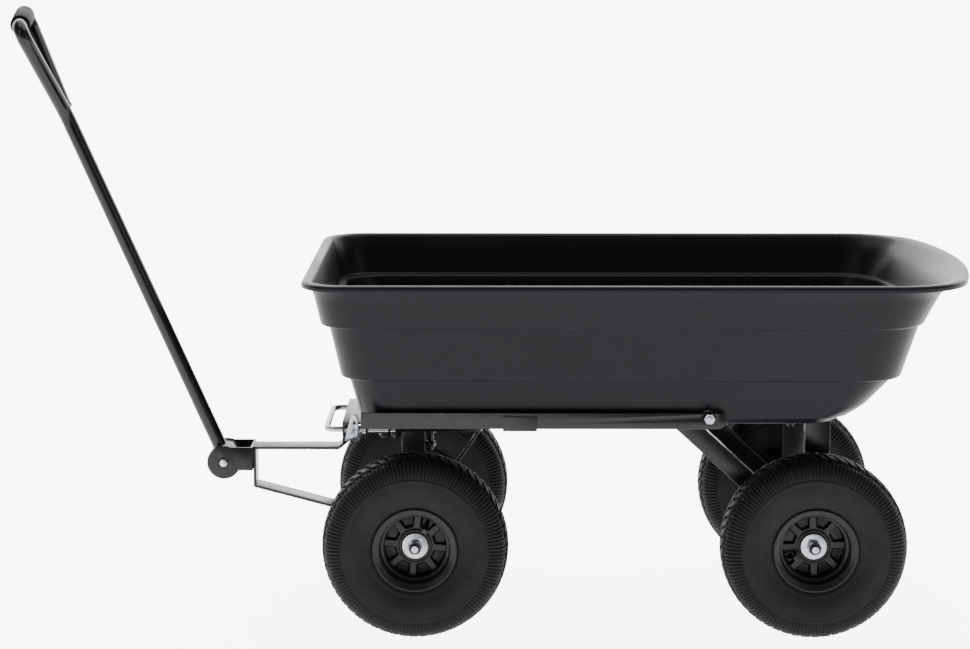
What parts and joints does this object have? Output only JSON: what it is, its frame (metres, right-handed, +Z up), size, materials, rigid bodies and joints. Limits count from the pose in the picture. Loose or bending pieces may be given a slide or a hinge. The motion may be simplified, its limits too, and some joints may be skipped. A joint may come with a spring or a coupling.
{
  "type": "tipping garden cart",
  "caption": "Hand-pulled four-wheel cart with a stepped plastic tub that tips about side pivots, a steered front axle, a swinging pull handle and a sprung latch bail.",
  "frame": {"origin": "centre of the bounding box on the ground, midway between the wheels' sides", "axes": "+X towards the spout end, -X towards the pull handle, +Y across the cart, +Z up"},
  "size_m": [1.31, 0.523, 0.832],
  "materials": {
    "tub_poly": "moulded polypropylene, semi-gloss, fine grain",
    "powder_coat": "satin black powder coat on steel",
    "zinc": "bright zinc plate",
    "dark_hardware": "black zinc plate on bolts under the cart",
    "tyre_rubber": "black tyre rubber",
    "rim_plastic": "black moulded wheel centre",
    "soft_rubber": "soft black rubber",
    "nylon": "black nylon",
    "bearing_steel": "bearing steel",
    "spring_steel": "spring steel"
  },
  "bodies": {
    "front_frame": {"side_rail_l": "powder_coat", "side_rail_r": "powder_coat", "rail_pads": "soft_rubber", "front_cross": "powder_coat", "mid_cross": "powder_coat", "bolster": "powder_coat", "bolster_plate": "powder_coat", "thrust_washer": "nylon", "kingpin": "dark_hardware", "latch_guide": "powder_coat", "latch_cheeks": "zinc"},
    "tub_unit": {"tub": "tub_poly", "tub_bolts": "dark_hardware", "side_plate_l": "powder_coat", "side_plate_r": "powder_coat", "rear_tie": "powder_coat", "pivot_bolts": "zinc", "rear_posts": "powder_coat", "rear_struts": "powder_coat", "rear_axle_beam": "powder_coat", "rear_axle_shaft": "zinc", "rear_spacers": "zinc", "rear_washers": "zinc", "rear_axle_nuts": "zinc", "latch_striker": "powder_coat"},
    "steering": {"head_plate": "powder_coat", "kingpin_post": "powder_coat", "front_axle_beam": "powder_coat", "front_axle_shaft": "zinc", "front_spacers": "zinc", "front_washers": "zinc", "front_axle_nuts": "zinc", "drawbar": "powder_coat", "drawbar_bolts": "dark_hardware", "front_brace": "powder_coat", "stop_bolt": "dark_hardware", "clevis": "powder_coat", "clevis_bolt": "zinc"},
    "handle": {"handle_boss": "powder_coat", "handle_tube": "powder_coat", "grip": "soft_rubber", "end_plug": "nylon"},
    "latch": {"latch_bail": "zinc", "latch_springs": "spring_steel"},
    "wheel_fl": {"tyre_fl": "tyre_rubber", "rim_fl": "rim_plastic", "bearings_fl": "bearing_steel", "valve_fl": "soft_rubber"},
    "wheel_fr": {"tyre_fr": "tyre_rubber", "rim_fr": "rim_plastic", "bearings_fr": "bearing_steel", "valve_fr": "soft_rubber"},
    "wheel_rl": {"tyre_rl": "tyre_rubber", "rim_rl": "rim_plastic", "bearings_rl": "bearing_steel", "valve_rl": "soft_rubber"},
    "wheel_rr": {"tyre_rr": "tyre_rubber", "rim_rr": "rim_plastic", "bearings_rr": "bearing_steel", "valve_rr": "soft_rubber"}
  },
  "joints": [
    {"name": "tub_tip", "type": "hinge", "parent": "front_frame", "child": "tub_unit", "pos_m": [0.29156, 0, 0.3012], "axis": [0, 1, 0], "range_deg": [0, 70]},
    {"name": "steer", "type": "hinge", "parent": "front_frame", "child": "steering", "pos_m": [-0.10604, 0, 0.25], "axis": [0, 0, 1], "range_deg": [-45, 45]},
    {"name": "handle_swing", "type": "hinge", "parent": "steering", "child": "handle", "pos_m": [-0.37074, 0, 0.201], "axis": [0, 1, 0], "range_deg": [-82, 40]},
    {"name": "latch_pull", "type": "slide", "parent": "front_frame", "child": "latch", "axis": [-1, 0, 0], "range_m": [0, 0.016], "stiffness_N_per_m": 800, "springref_m": -0.008, "deforming": ["latch_springs"]},
    {"name": "roll_fl", "type": "hinge", "parent": "steering", "child": "wheel_fl", "pos_m": [-0.09804, -0.183, 0.125], "axis": [0, 1, 0], "continuous": true},
    {"name": "roll_fr", "type": "hinge", "parent": "steering", "child": "wheel_fr", "pos_m": [-0.09804, 0.183, 0.125], "axis": [0, 1, 0], "continuous": true},
    {"name": "roll_rl", "type": "hinge", "parent": "tub_unit", "child": "wheel_rl", "pos_m": [0.43396, -0.183, 0.125], "axis": [0, 1, 0], "continuous": true},
    {"name": "roll_rr", "type": "hinge", "parent": "tub_unit", "child": "wheel_rr", "pos_m": [0.43396, 0.183, 0.125], "axis": [0, 1, 0], "continuous": true}
  ]
}
